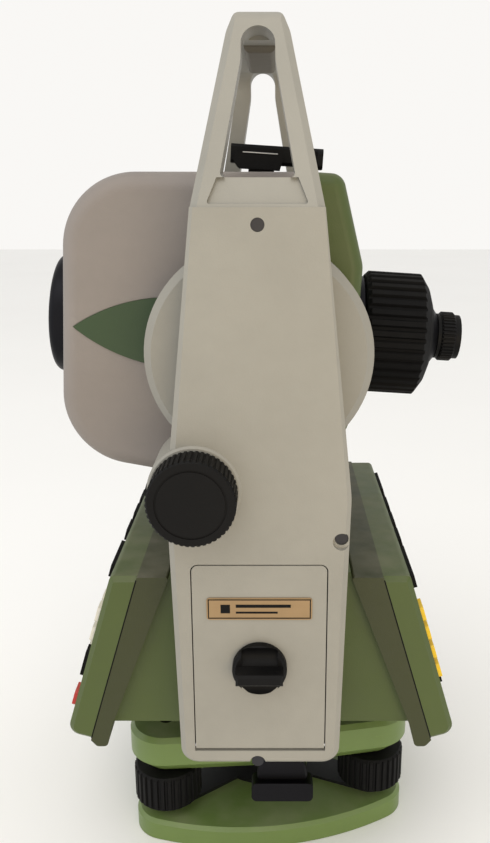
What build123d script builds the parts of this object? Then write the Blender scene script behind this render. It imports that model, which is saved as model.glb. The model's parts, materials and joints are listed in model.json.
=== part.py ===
from build123d import *
import math
import os

# Surveying total station. Millimetres. +Z is up, and the origin is the centre of the tripod
# thread in the underside of the base plate. The objective looks along -X, the tilting axis
# is parallel to Y, and the vertical axis is the Z axis. The battery side faces -Y.

# ---------------------------------------------------------------- driving dimensions

# heights and main axes
tilt_axis_z = 240.0          # height of the tilting axis
pillar_bottom_z = 76.0       # lower edge of the two standard covers
pillar_rise = 54.5           # top of the standards above the tilting axis
handle_rise = 66.5           # top of the carrying handle above the standards
rest_pitch = 3.6             # telescope elevation at rest, degrees

# tribrach
thread_r = 6.75              # wall of the 5/8 inch tripod thread
plate_t = 10.0
screw_circle_r = 58.0
first_screw_angle = 217.5    # degrees about Z
plate_corner_r = 15.0
plate_side_r = 140.0         # radius of the plate's three bulging sides
plate_side_centre = 85.0     # distance of their centres from the vertical axis
spring_t = 1.5
spring_arm_r = 8.0
spring_hub_r = 24.0
foot_r = 3.5                 # foot-screw spindle
foot_socket_depth = 5.0
foot_knob_r = 16.0
foot_knob_z = 15.6
foot_knob_h = 18.0
foot_knob_teeth = 30
body_z = 34.5
body_h = 21.5
body_taper = 8.0             # chamfer round the underside of the tribrach body
body_lobe_r = 17.0
body_ring_r = 49.0
body_bore_r = 20.5
level_radius = 62.0          # distance of the circular level from the vertical axis
level_angle = 37.5
level_lug_r = 11.0
level_cup_r = 9.0
level_cup_h = 6.5
level_glass_r = 7.0
level_glass_h = 4.0
lock_knob_x = 9.3
lock_knob_z = 42.0
lock_knob_r = 11.5
lock_knob_t = 6.0
lock_wing_half = 14.0
lock_shaft_r = 3.0

# instrument base and vertical axis
base_ring_r = 42.0
base_ring_h = 7.0
base_collar_r = 37.0
base_top_z = 72.0
stud_r = 6.0
stud_circle_r = 32.0
stud_length = 14.0
bush_r = 20.0
bush_top_z = 95.0
spindle_r = 12.0
spindle_bottom_z = 62.0
circle_r = 33.0              # horizontal circle
circle_t = 2.0
circle_z = 89.0
axis_pocket_r = 37.0
axis_pocket_top_z = 104.0
spindle_flange_r = 18.0
spindle_flange_t = 4.0

# standards and their covers
standard_face_y = 95.0
cover_depth = 25.0
cover_wall = 3.0
pillar_top_half = 23.1
pillar_widest_half = 34.4
pillar_widest_drop = 50.0    # widest level, below the tilting axis
pillar_bottom_half = 31.7
pillar_corner_r = 7.0
cover_edge_r = 2.2
disc_r = 43.2
disc_bevel = 3.0
bearing_r = 14.0
trunnion_r = 9.0
foot_block_half = 37.0
foot_block_z = 82.5
foot_block_top_z = 119.0
handle_screw_drop = 5.8
handle_hole_r = 2.4
notch_x = 31.0               # half-round recess at the edge of the near cover, with a screw in it
notch_drop = 66.8            # below the tilting axis
notch_r = 3.4
screw_head_r = 2.5
slot_x = -1.0                # slot in the lower edge of the near cover
slot_rise = 1.2
slot_r = 3.1

# lower housing
housing_bottom_z = 79.0
housing_wall = 3.0
housing_hole_r = 40.0

# keyboards, the right-hand one in the XZ plane; the left one is turned half round
key_top_z = 149.0
key_inner_x = 37.0
key_outer_x = 61.0
key_face_drop = 73.0
key_face_run = 22.0
key_back_run = 24.5
key_back_drop = 64.0
key_half_y = 75.0
key_front_t = 10.6
key_edge = 2.0                # bevel at both ends of the sloping face
key_wall = 2.4
display_w = 84.0
display_h = 44.0
display_u = -10.0
display_v = 35.0
display_t = 1.2
mat_t = 0.6
key_rise = 1.6
key_travel = 0.8
key_web_t = 1.0

# battery, its door and what is on it
door_w = 51.3
door_h = 80.6
door_rise = 7.1              # lower edge of the door above the cover's lower edge
door_corner_r = 2.5
door_gap = 0.45
hinge_pin_r = 0.8
hinge_pin_end = 3.0          # length of the pin that is held at each side of the door
label_w = 40.3
label_h = 9.1
label_t = 0.5
label_above_door_knob = 24.8
door_knob_rise = 38.1        # knob centre above the door's lower edge
door_knob_r = 10.6
door_knob_t = 4.0
door_wing_w = 18.0
door_wing_h = 4.6
door_wing_t = 7.0
door_knob_shaft_r = 2.5
battery_h = 72.0

# drive knobs
drive_x = -23.7
drive_drop = 46.4            # below the tilting axis
drive_r = 16.2
drive_t = 13.0
drive_teeth = 48
drive_shaft_r = 3.0
drive_seat_t = 1.2

# carrying handle
handle_top_y = 62.0
handle_leg_t = 20.0
handle_shoulder_drop = 7.0
handle_bevel = 1.7           # depth of the bevel on the outer edges of the legs
handle_top_half = 11.4
handle_knee_rise = 35.5
handle_knee_half = 16.1
sill_rise = 9.7
sill_half = 13.05
window_top_half = 6.05
window_rise = 49.5
window_top_rise = 61.1
crossbar_recess = 1.6
grip_under_rise = 59.5
grip_pad_half = 6.2
grip_pad_half_y = 32.0
grip_pad_t = 5.5

# telescope, measured level from the tilting axis
scope_front_x = -80.8
scope_half_y = 50.0
scope_top_front = 62.0       # half heights at the front, and how they grow to the rear
scope_top_flare = 3.5        # degrees
scope_bottom_front = 52.5
scope_bottom_flare = 7.0     # degrees
scope_corner_r = 30.0
scope_edge_r = 7.0
scope_wall = 2.6
parting_x = 17.0
rear_x = 39.5
rear_shoulder_x = 28.5
rear_flat_half = 33.0
rear_half_y = 46.0
rear_corner_r = 6.0
tube_r = 25.0
tube_bore_r = 20.5
trunnion_flange_r = 17.0
vertical_circle_r = 23.0
objective_tip_x = -92.0
objective_ring_r = 26.5
objective_bore_r = 21.0
focus_cell_r = 20.42
focus_cell_l = 16.0
focus_travel = 10.0
focus_x0 = 45.3
focus_x1 = 76.0
focus_r = 27.6
focus_shoulder_x = 70.5      # the ring narrows from here to its rear end
focus_end_r = 17.0
focus_teeth = 36
eye_tube_r = 9.0
eye_tube_bore_r = 6.8
eye_x0 = 79.8
eye_x1 = 90.2
eye_r = 11.2
eye_teeth = 40
sight_x0 = -17.8
sight_x1 = 22.0
sight_half_y = 9.0
sight_h = 9.4
sight_cheek_x1 = 5.3
sight_cheek_drop = 3.0       # the cheeks' upper edges below the top of the sight
arrow_tip_x = -75.4
arrow_middle_x = -57.0
arrow_base_x = -36.0
arrow_rise = 2.4             # centre line of the inlays above the tilting axis
arrow_middle_half = 10.0
arrow_half = 14.2

# clearances
running = 0.05               # radial, shaft in bore
free = 0.35                  # between curved faces that move
key_gap = 0.35
sweep_gap = 2.5              # between the turning telescope and the alidade
side_gap = 6.0               # between the sides of the telescope and the standards

# ---------------------------------------------------------------- derived values

pillar_top_z = tilt_axis_z + pillar_rise
handle_top_z = pillar_top_z + handle_rise
door_bottom_z = pillar_bottom_z + door_rise
door_knob_z = door_bottom_z + door_knob_rise
drive_z = tilt_axis_z - drive_drop
notch_z = tilt_axis_z - notch_drop
slot_z = pillar_bottom_z + slot_rise
screw_angles = [first_screw_angle + 120 * i for i in range(3)]
stud_angles = [angle + 60 for angle in screw_angles]
body_top_z = body_z + body_h
standard_inner_y = scope_half_y + side_gap
cover_back_y = standard_face_y - cover_depth
housing_half_y = cover_back_y
upright_y = cover_back_y - housing_wall - door_gap
disc_face_y = standard_face_y - 17
trunnion_end_y = standard_face_y - cover_wall - 4
handle_y = standard_face_y - 2
drive_seat_r = drive_r + 1.2
door_t = cover_wall
hinge_y = -standard_face_y + door_t / 2
hinge_z = door_bottom_z + door_t / 2
battery_w = door_w - 5.3
top_slope = math.tan(math.radians(scope_top_flare))
bottom_slope = math.tan(math.radians(scope_bottom_flare))
face_length = math.hypot(key_face_drop, key_face_run)
mat_top = 1.8                # the keypad mat's edges, down the sloping face
mat_foot = face_length - 7.0
face_normal_x = key_face_drop / face_length
face_normal_z = key_face_run / face_length
ring_sweep_r = math.hypot(objective_tip_x, objective_ring_r) + sweep_gap
front_sweep_r = (math.hypot(scope_front_x + scope_corner_r, scope_top_front - scope_corner_r)
                 + scope_corner_r + sweep_gap)
scope_top_rear = scope_top_front + (parting_x - scope_front_x) * top_slope
rear_sweep_r = math.hypot(rear_shoulder_x, scope_top_rear) + sweep_gap
housing_sweep_r = max(front_sweep_r, rear_sweep_r)

# ---------------------------------------------------------------- helpers


def at(x, y, z):
    return Location((x, y, z))


def block(x0, x1, y0, y1, z0, z1):
    """Box between two corners."""
    return at((x0 + x1) / 2, (y0 + y1) / 2, (z0 + z1) / 2) * Box(x1 - x0, y1 - y0, z1 - z0)


def rod(axis, centre, radius, low, high):
    """Cylinder parallel to an axis, from low to high along it."""
    turn = {"x": Rotation(0, 90, 0), "y": Rotation(90, 0, 0), "z": Rotation(0, 0, 0)}[axis]
    middle = (low + high) / 2
    a, b = centre
    place = {"x": (middle, a, b), "y": (a, middle, b), "z": (a, b, middle)}[axis]
    return Location(place) * turn * Cylinder(radius, high - low)


def loop(points, radii):
    """Closed outline of (x, y) points, with one corner radius for each point."""
    return make_face(FilletPolyline(*points, radius=list(radii), close=True).edges())


def along_y(points, radii, y0, y1):
    """Outline of (x, z) points, extruded from y0 to y1."""
    return at(0, y1, 0) * extrude(Plane.XZ * loop(points, radii), amount=y1 - y0)


def toothed(radius, depth, teeth, length):
    """Knurled cylinder along +Z from 0, with chamfered ends."""
    points = []
    for tooth in range(teeth):
        for share, level in ((0.0, radius), (0.45, radius), (0.6, radius - depth), (0.85, radius - depth)):
            angle = 2 * math.pi * (tooth + share) / teeth
            points.append((level * math.cos(angle), level * math.sin(angle)))
    prism = extrude(Polygon(*points, align=None), amount=length)
    barrel = at(0, 0, length / 2) * Cylinder(radius, length)
    barrel = chamfer(barrel.edges().filter_by(GeomType.CIRCLE), min(depth * 1.4, length / 6))
    return prism & barrel


def mirrored(part):
    """The same part on the far side, turned half round the vertical axis."""
    return Rotation(0, 0, 180) * part


def pitched(part):
    """Telescope part at its rest elevation and at the height of the tilting axis."""
    return at(0, 0, tilt_axis_z) * Rotation(0, rest_pitch, 0) * part


def both_sides(part):
    return part + mirrored(part)


def ring_points(radius, angles):
    return [(radius * math.cos(math.radians(a)), radius * math.sin(math.radians(a))) for a in angles]


def hull(circles):
    """Convex outline around (x, y, radius) circles."""
    edges = []
    for x, y, radius in circles:
        edges += (at(x, y, 0) * Circle(radius)).edges()
    return make_hull(edges)


screw_centres = ring_points(screw_circle_r, screw_angles)
stud_centres = ring_points(stud_circle_r, stud_angles)

# ---------------------------------------------------------------- tribrach


def make_base_plate():
    """Plate with three bulging sides and a rounded corner beside each foot screw."""
    outline = Circle(screw_circle_r + 2 * plate_corner_r)
    for x, y in ring_points(plate_side_centre, screw_angles):
        outline &= at(x, y, 0) * Circle(plate_side_r)
    plate = extrude(fillet(outline.vertices(), plate_corner_r), amount=plate_t)
    plate = chamfer(plate.faces().sort_by(Axis.Z)[-1].edges(), 1.6)
    plate -= rod("z", (0, 0), thread_r, -1, plate_t + 1)
    for centre in screw_centres:
        plate -= rod("z", centre, foot_r + running, plate_t - foot_socket_depth, plate_t + 1)
    return plate


def make_spring_plate():
    sheet = Circle(spring_hub_r)
    for x, y in screw_centres:
        sheet += hull([(0, 0, spring_arm_r), (x, y, spring_arm_r)])
    sheet -= Circle(thread_r + 1)
    for x, y in screw_centres:
        sheet -= at(x, y, 0) * Circle(foot_r + free)
    return at(0, 0, plate_t) * extrude(sheet, amount=spring_t)


def make_foot_screw(centre):
    screw = rod("z", centre, foot_r, plate_t - foot_socket_depth + running, body_top_z - 2)
    knob = toothed(foot_knob_r, 0.9, foot_knob_teeth, foot_knob_h)
    collar = rod("z", centre, foot_r + 3, foot_knob_z - 2.5, foot_knob_z + 1)
    return screw + at(centre[0], centre[1], foot_knob_z) * knob + collar


def make_tribrach_body():
    lobes = [(x, y, body_lobe_r) for x, y in screw_centres]
    body = at(0, 0, body_z) * extrude(hull(lobes + [(0, 0, body_ring_r)]), amount=body_h)
    body = chamfer(body.faces().sort_by(Axis.Z)[-1].edges(), 2.0)
    body = chamfer(body.faces().sort_by(Axis.Z)[0].edges(), body_taper)
    level_x, level_y = ring_points(level_radius, [level_angle])[0]
    lug = hull([(level_x, level_y, level_lug_r), (level_x * 0.6, level_y * 0.6, level_lug_r + 4)])
    body += at(0, 0, body_z + body_taper) * extrude(lug, amount=body_h - body_taper - 5)
    body -= rod("z", (level_x, level_y), level_cup_r + free, body_top_z - 6, body_top_z + 1)
    body -= rod("z", (0, 0), body_bore_r, body_z - 1, body_top_z + 1)
    for centre in screw_centres:
        body -= rod("z", centre, foot_r + running, body_z - 1, body_top_z + 1)
    for centre in stud_centres:
        body -= rod("z", centre, stud_r, body_top_z - stud_length, body_top_z + 1)
    body += rod("y", (lock_knob_x, lock_knob_z), lock_knob_r, -body_ring_r - 3, -body_ring_r + 8)
    body -= rod("y", (lock_knob_x, lock_knob_z), lock_shaft_r + running, -body_ring_r - 4, -body_ring_r + 12)
    return body


def make_lock_knob():
    """Round knob with a wing across its lower half."""
    front = -body_ring_r - 3 - free
    knob = rod("y", (lock_knob_x, lock_knob_z), lock_knob_r, front - lock_knob_t, front)
    knob = chamfer(knob.faces().sort_by(Axis.Y)[0].edges(), 1.0)
    wing = block(lock_knob_x - lock_wing_half, lock_knob_x + lock_wing_half, front - lock_knob_t - 3, front - 1,
                 lock_knob_z - lock_knob_r, lock_knob_z - 2)
    wing = fillet(wing.edges().filter_by(Axis.Y), 2.5)
    shaft = rod("y", (lock_knob_x, lock_knob_z), lock_shaft_r, front - 1, -body_ring_r + 11)
    return knob + wing + shaft


def make_level_cup():
    x, y = ring_points(level_radius, [level_angle])[0]
    cup = rod("z", (x, y), level_cup_r, body_top_z - 6, body_top_z - 6 + level_cup_h)
    top = body_top_z - 6 + level_cup_h
    return cup - rod("z", (x, y), level_glass_r, top - level_glass_h, top + 1)


def make_level_vial():
    centre = ring_points(level_radius, [level_angle])[0]
    top = body_top_z - 6 + level_cup_h
    vial = rod("z", centre, level_glass_r, top - level_glass_h, top + 0.5)
    return chamfer(vial.edges().sort_by(Axis.Z)[-1], 0.6)


def make_instrument_base():
    base = rod("z", (0, 0), base_ring_r, body_top_z, body_top_z + base_ring_h)
    base = chamfer(base.edges().sort_by(Axis.Z)[-1], 1.5)
    base += rod("z", (0, 0), base_collar_r, body_top_z, base_top_z)
    for centre in stud_centres:
        base += rod("z", centre, stud_r, body_top_z - stud_length, body_top_z + 1)
    return base - rod("z", (0, 0), bush_r, body_top_z - 1, base_top_z + 1)


def make_axis_bush():
    bush = rod("z", (0, 0), bush_r, body_top_z, bush_top_z)
    bush += rod("z", (0, 0), bush_r + 5, base_top_z, base_top_z + 3)
    return bush - rod("z", (0, 0), spindle_r + running, body_top_z - 1, bush_top_z + 1)


def make_horizontal_circle():
    disc = rod("z", (0, 0), circle_r, circle_z, circle_z + circle_t)
    return disc - rod("z", (0, 0), bush_r, circle_z - 1, circle_z + circle_t + 1)


# ---------------------------------------------------------------- alidade: frame and standards


def pillar_half(z):
    """Half the width of a standard at a height."""
    widest_z = tilt_axis_z - pillar_widest_drop
    if z >= widest_z:
        share = (z - widest_z) / (pillar_top_z - widest_z)
        return pillar_widest_half + (pillar_top_half - pillar_widest_half) * share
    share = (z - pillar_bottom_z) / (widest_z - pillar_bottom_z)
    return pillar_bottom_half + (pillar_widest_half - pillar_bottom_half) * share


def pillar(y0, y1, inset, low_z):
    """Outline of a standard, made smaller all round by inset."""
    widest_z = tilt_axis_z - pillar_widest_drop
    top = pillar_top_z - inset
    low = max(low_z, pillar_bottom_z + inset)
    points = [(pillar_half(top) - inset, top), (pillar_widest_half - inset, widest_z),
              (pillar_half(low) - inset, low)]
    points += [(-x, z) for x, z in reversed(points)]
    corner = max(pillar_corner_r - inset, 0.5)
    return along_y(points, [0, 40, corner, corner, 40, 0], y0, y1)


def telescope_sweep(extra):
    """Space that the telescope turns through, between the standards."""
    inner = standard_inner_y + extra
    ring_half = objective_ring_r + 4 + extra
    sweep = rod("y", (0, tilt_axis_z), housing_sweep_r + extra, -inner, inner)
    return sweep + rod("y", (0, tilt_axis_z), ring_sweep_r + extra, -ring_half, ring_half)


def make_upright():
    """Near upright of the alidade frame, with the round bearing boss."""
    upright = pillar(-upright_y, -standard_inner_y, 1.0, foot_block_z)
    upper = pillar(-cover_back_y, -standard_inner_y, 1.0, key_top_z + 2)
    upright = upright + upper
    boss = rod("y", (0, tilt_axis_z), disc_r, -disc_face_y, -standard_inner_y)
    boss = chamfer(boss.faces().sort_by(Axis.Y)[0].edges(), disc_bevel)
    upright += boss
    upright -= rod("y", (0, tilt_axis_z), bearing_r, -disc_face_y - 1, 1 - standard_inner_y)
    for z, half in ((tilt_axis_z - 76, 19), (tilt_axis_z - 110, 18)):
        upright -= block(-half, half, -standard_inner_y - 7, 1 - standard_inner_y, z - 12, z + 12)
    screw_z = pillar_top_z - handle_screw_drop
    return upright - rod("y", (0, screw_z), 1.5, -cover_back_y - 1, 6 - cover_back_y)


def make_alidade_frame():
    frame = block(-foot_block_half, foot_block_half, -upright_y, upright_y, foot_block_z, foot_block_top_z)
    frame -= rod("z", (0, 0), axis_pocket_r, foot_block_z - 1, axis_pocket_top_z)
    frame += both_sides(make_upright())
    return frame - rod("z", (0, 0), axis_pocket_r, foot_block_z - 1, axis_pocket_top_z)


def make_axis_spindle():
    spindle = rod("z", (0, 0), spindle_r, spindle_bottom_z, axis_pocket_top_z)
    top = axis_pocket_top_z
    return spindle + rod("z", (0, 0), spindle_flange_r, top - spindle_flange_t, top)


def back_x(z):
    """Side line that the lower housing and the keyboards share."""
    return key_inner_x + (key_top_z - z) * key_back_run / key_back_drop


def make_lower_housing():
    low, high = housing_bottom_z, key_top_z
    outline = [(back_x(high), high), (back_x(low), low), (-back_x(low), low), (-back_x(high), high)]
    outer = along_y(outline, [0, 0, 0, 0], -housing_half_y, housing_half_y)
    side = housing_wall / math.cos(math.atan(key_back_run / key_back_drop))
    low, high = housing_bottom_z + housing_wall, key_top_z - housing_wall
    outline = [(back_x(high) - side, high), (back_x(low) - side, low),
               (side - back_x(low), low), (side - back_x(high), high)]
    inner_y = housing_half_y - housing_wall
    inner = along_y(outline, [0, 0, 0, 0], -inner_y, inner_y)
    inner -= telescope_sweep(housing_wall)
    housing = outer - telescope_sweep(0) - inner
    housing -= rod("z", (0, 0), housing_hole_r, housing_bottom_z - 1, housing_bottom_z + housing_wall + 1)
    slot = block(-pillar_widest_half, pillar_widest_half, -upright_y - door_gap, -standard_inner_y + door_gap,
                 foot_block_top_z, key_top_z + 1)
    return housing - both_sides(slot)


def face_cutter(x, z, slope_x, slope_z):
    """Everything in front of a shallow plane that meets the near face at (x, z) and falls away from it."""
    plane = Plane(origin=(x, -standard_face_y, z), x_dir=(1, slope_x, 0), z_dir=(slope_x, -1, slope_z))
    return plane * at(0, 0, 10) * Box(500, 500, 20)


def make_cover():
    """Near standard cover: a shell that is open at the back, with a face of four shallow planes."""
    face = -standard_face_y
    outer = pillar(face, -cover_back_y, 0, 0)
    rim = [e for e in outer.faces().sort_by(Axis.Y)[0].edges() if e.center().Z < pillar_top_z - 1]
    outer = chamfer(rim, cover_edge_r)
    outer -= face_cutter(-15.8, tilt_axis_z - 30.6, 0, 0.011)
    right_plane = face_cutter(-9.0, tilt_axis_z - 42.1, 0.0223, 0.0113)
    outer -= right_plane & face_cutter(1.1, tilt_axis_z - 61.8, 0.0115, 0.0135)
    inner = pillar(face + cover_wall, -cover_back_y + 1, cover_wall, 0)
    seat = rod("y", (drive_x, drive_z), drive_seat_r, face - drive_seat_t, -cover_back_y)
    seat_inner = rod("y", (drive_x, drive_z), drive_seat_r - cover_wall, face + cover_wall, 1 - cover_back_y)
    seat = chamfer(seat.faces().sort_by(Axis.Y)[0].edges(), 0.8)
    cover = (outer + seat) - inner - seat_inner
    cover -= rod("y", (0, tilt_axis_z), disc_r + free, -disc_face_y - free, 1 - cover_back_y)
    cover -= rod("y", (drive_x, drive_z), drive_shaft_r + running, face - 3, face + cover_wall + 1)
    cover -= rod("y", (0, pillar_top_z - handle_screw_drop), handle_hole_r, face - 1, face + cover_wall + 1)
    return cover


def make_near_cover():
    face = -standard_face_y
    cover = make_cover()
    half = door_w / 2 + door_gap
    opening = [(half, door_bottom_z - door_gap), (half, door_bottom_z + door_h + door_gap),
               (-half, door_bottom_z + door_h + door_gap), (-half, door_bottom_z - door_gap)]
    corner = door_corner_r + door_gap
    cover -= along_y(opening, [0, corner, corner, 0], face - 1, face + cover_wall + 1)
    post = rod("y", (notch_x, notch_z), notch_r + 1.8, face + cover_wall - 1, -cover_back_y)
    cover += post & pillar(face, -cover_back_y, 0.8, 0)
    cover -= rod("y", (notch_x, notch_z), notch_r, face - 1, face + 2)
    cover -= rod("y", (notch_x, notch_z + 0.6), screw_head_r + 0.1, face - 1, face + 9)
    slot = rod("y", (slot_x, slot_z), slot_r, face - 1, face + 9)
    cover -= slot + block(slot_x - slot_r, slot_x + slot_r, face - 1, face + 9, pillar_bottom_z - 3, slot_z)
    reach = door_w / 2 + hinge_pin_end
    return cover - rod("x", (hinge_y, hinge_z), hinge_pin_r, -reach, reach)


def make_far_cover():
    """Far cover, modelled near and turned round: a plain face with the circuit board behind it."""
    cover = make_cover()
    face = -standard_face_y
    for x in (-16, 16):
        for z in (pillar_bottom_z + 16, tilt_axis_z - 66):
            cover += rod("y", (x, z), 3, face + cover_wall - 1, face + cover_wall + 8)
    return mirrored(cover)


def make_circuit_board():
    y = -standard_face_y + cover_wall + 8
    board = block(-22, 22, y, y + 1.6, pillar_bottom_z + 9, tilt_axis_z - 59)
    for z in (pillar_bottom_z + 30, pillar_bottom_z + 60):
        board += block(-14, 10, y + 1.6, y + 4, z, z + 18)
    return mirrored(board)


# ---------------------------------------------------------------- battery side


def make_battery_door():
    """Door whose lower edge is round about the hinge pin."""
    face = -standard_face_y
    low, high, half = door_bottom_z, door_bottom_z + door_h, door_w / 2
    outline = [(half, low), (half, high), (-half, high), (-half, low)]
    slab = along_y(outline, [0, door_corner_r, door_corner_r, 0], face, face + door_t)
    barrel = rod("x", (hinge_y, hinge_z), door_t / 2, -half, half)
    upper = block(-half, half, face - 1, 0, hinge_z, high + 1)
    door = (slab & upper) + (slab & barrel)
    door -= rod("x", (hinge_y, hinge_z), hinge_pin_r + running, -half - 1, half + 1)
    return door - rod("y", (0, door_knob_z), door_knob_shaft_r + running, face - 1, face + door_t + 1)


def make_hinge_pin():
    reach = door_w / 2 + hinge_pin_end
    return rod("x", (hinge_y, hinge_z), hinge_pin_r, -reach, reach)


def make_door_knob():
    face = -standard_face_y
    knob = rod("y", (0, door_knob_z), door_knob_r, face - free - door_knob_t, face - free)
    knob = chamfer(knob.faces().sort_by(Axis.Y)[0].edges(), 1.2)
    for side in (-1, 1):
        scoop = rod("x", (face - free - door_knob_t - 1.5, door_knob_z + side * (door_wing_h / 2 + 4.2)),
                    4.2, -door_knob_r * 0.66, door_knob_r * 0.66)
        knob -= scoop
    wing = block(-door_wing_w / 2, door_wing_w / 2, face - free - door_knob_t - door_wing_t, face - free - 1,
                 door_knob_z - door_wing_h / 2, door_knob_z + door_wing_h / 2)
    wing = chamfer(wing.faces().sort_by(Axis.Y)[0].edges(), 1.0)
    shaft = rod("y", (0, door_knob_z), door_knob_shaft_r, face - 1, face + door_t + 1.4)
    return knob + wing + shaft


def make_label_plate():
    face = -standard_face_y
    half_w, half_h = label_w / 2, label_h / 2
    z = door_knob_z + label_above_door_knob
    outline = [(half_w, z - half_h), (half_w, z + half_h), (-half_w, z + half_h), (-half_w, z - half_h)]
    return along_y(outline, [1.2] * 4, face - label_t, face)


def make_battery():
    back = -housing_half_y
    front = -standard_face_y + door_t + 3.5
    low = door_bottom_z + 7
    pack = block(-battery_w / 2, battery_w / 2, front, back, low, low + battery_h)
    return chamfer(pack.edges().filter_by(Axis.Y), 2.0)


# ---------------------------------------------------------------- handle, screws and drive knobs


def leg_bevels():
    """What is cut off along the outer edge of the near right leg, below and above its knee."""
    lean = (handle_y - handle_top_y) / handle_rise
    face = Vector(0, -1, lean).normalized()
    line = [(pillar_top_half, 0), (handle_knee_half, handle_knee_rise),
            (handle_top_half, handle_rise - handle_shoulder_drop)]
    cutters = []
    for (x, rise), (next_x, next_rise) in zip(line, line[1:]):
        side = Vector(next_rise - rise, 0, x - next_x).normalized()
        edge = Vector(x, lean * rise - handle_y, pillar_top_z + rise)
        normal = (side + face).normalized()
        bevel = Plane(origin=edge - normal * handle_bevel, z_dir=normal)
        cutters.append(bevel * at(0, 0, 10) * Box(400, 400, 20))
    return cutters


def make_handle():
    """Bow with a window in each leg, and a recessed bar below each window."""
    base, top = pillar_top_z, handle_top_z
    front = [(pillar_top_half, base), (handle_knee_half, base + handle_knee_rise),
             (handle_top_half, top - handle_shoulder_drop), (handle_top_half - 3, top)]
    front += [(-x, z) for x, z in reversed(front)]
    body = along_y(front, [0, 60, 14, 4, 4, 14, 60, 0], -handle_y, handle_y)
    under = base + grip_under_rise
    inner_foot = handle_y - handle_leg_t
    inner_top = max(scope_half_y + sweep_gap + 1, handle_top_y - 8)
    side = [(handle_y, base), (handle_top_y, top), (-handle_top_y, top), (-handle_y, base),
            (-inner_foot, base), (-inner_top, under), (inner_top, under), (inner_foot, base)]
    bow = extrude(Plane.YZ * loop(side, [0, 6, 6, 0, 0, 10, 10, 0]), amount=pillar_top_half + 5, both=True)
    body = body & bow
    for cutter in leg_bevels():
        body -= both_sides(cutter + mirror(cutter, about=Plane.YZ))
    sill = base + sill_rise
    window = [(sill_half, sill), (window_top_half, base + window_rise),
              (window_top_half, base + window_top_rise)]
    window += [(-x, z) for x, z in reversed(window)]
    round_r = window_top_half - 0.05
    window = along_y(window, [1.5, 20, round_r, round_r, 20, 1.5], -handle_y - 1, 10 - inner_top)
    bar = [(sill_half + 0.9, sill), (sill_half + 4.4, base + 1.0),
           (-sill_half - 4.4, base + 1.0), (-sill_half - 0.9, sill)]
    bar = along_y(bar, [0, 0.8, 0.8, 0], -handle_y - 1, 0) & (bow - at(0, crossbar_recess, 0) * bow)
    return body - both_sides(window + bar) - make_grip_pad()


def make_grip_pad():
    """Soft insert in the underside of the grip, with rounded lower edges."""
    low = pillar_top_z + grip_under_rise - 2.5
    pad = block(-grip_pad_half, grip_pad_half, -grip_pad_half_y, grip_pad_half_y, low, low + grip_pad_t)
    return fillet(pad.faces().sort_by(Axis.Z)[0].edges(), 2.4)


def make_cover_screws():
    """Screws of the handle and of the near cover."""
    face = -standard_face_y
    z = pillar_top_z - handle_screw_drop
    handle_screw = rod("y", (0, z), 1.5, face + cover_wall, 6 - cover_back_y)
    handle_screw += rod("y", (0, z), handle_hole_r - 0.1, face + 1.4, face + cover_wall + 2)
    screws = both_sides(handle_screw)
    screws += rod("y", (notch_x, notch_z + 0.6), screw_head_r, face + 2.6, face + 9)
    screws += rod("y", (slot_x, slot_z), slot_r - 0.7, face + 1.0, face + 9)
    return screws


def make_drive_knob():
    """Endless drive knob with its encoder shaft, on the near side."""
    start = standard_face_y + drive_seat_t + free
    knob = toothed(drive_r, 0.55, drive_teeth, drive_t)
    knob -= at(0, 0, drive_t) * (Cylinder(drive_r - 3.2, 0.8) - Cylinder(drive_r - 4.0, 0.8))
    shaft = at(0, 0, -8) * Cylinder(drive_shaft_r, 16)
    encoder = at(0, 0, -start + standard_face_y - cover_wall - 5 - free) * Cylinder(6.0, 9)
    return at(drive_x, -start, drive_z) * Rotation(90, 0, 0) * (knob + shaft + encoder)


def make_bearings():
    ring = rod("y", (0, tilt_axis_z), bearing_r, -disc_face_y, -standard_inner_y)
    ring -= rod("y", (0, tilt_axis_z), trunnion_r + running, -disc_face_y - 1, 1 - standard_inner_y)
    return both_sides(ring)


# ---------------------------------------------------------------- keyboards

key_rows = {
    "function_keys": [(-55, 4.6, 30, 5.4), (-26, 4.6, 13, 5.4), (-6, 4.6, 13, 5.4), (15, 4.6, 13, 5.4),
                      (47, 4.6, 26, 5.4), (67.2, 44.0, 7, 12)]
                     + [(-43 + 13.2 * i, 65.5, 10.5, 6) for i in range(6)],
    "hot_keys": [(-66, 20 + 9.2 * i, 9.5, 6.2) for i in range(4)],
    "number_keys": [(45.6 + 10.8 * column, 20 + 9.2 * row, 8.2, 6.2)
                    for column, rows in ((0, 4), (1, 4), (2, 2)) for row in range(rows)],
    "power_key": [(67.2, 61, 8.2, 6.8)],
}


def face_point(down, depth):
    """Point of the keyboard's section: down the sloping face, and in from it."""
    x = key_outer_x + down * key_face_run / face_length - depth * face_normal_x
    z = key_top_z - down * key_face_drop / face_length - depth * face_normal_z
    return x, z


def on_face(u, down, width, height, outside, inside):
    """Box on the sloping face: u to the user's right, from outside above it to inside below it."""
    x, z = face_point(down, 0)
    plane = Plane(origin=(x, u, z), x_dir=(0, 1, 0), z_dir=(face_normal_x, 0, face_normal_z))
    return plane * at(0, 0, (outside - inside) / 2) * Box(width, height, outside + inside)


def seam_top_x():
    return key_outer_x - key_front_t / face_normal_x


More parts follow.
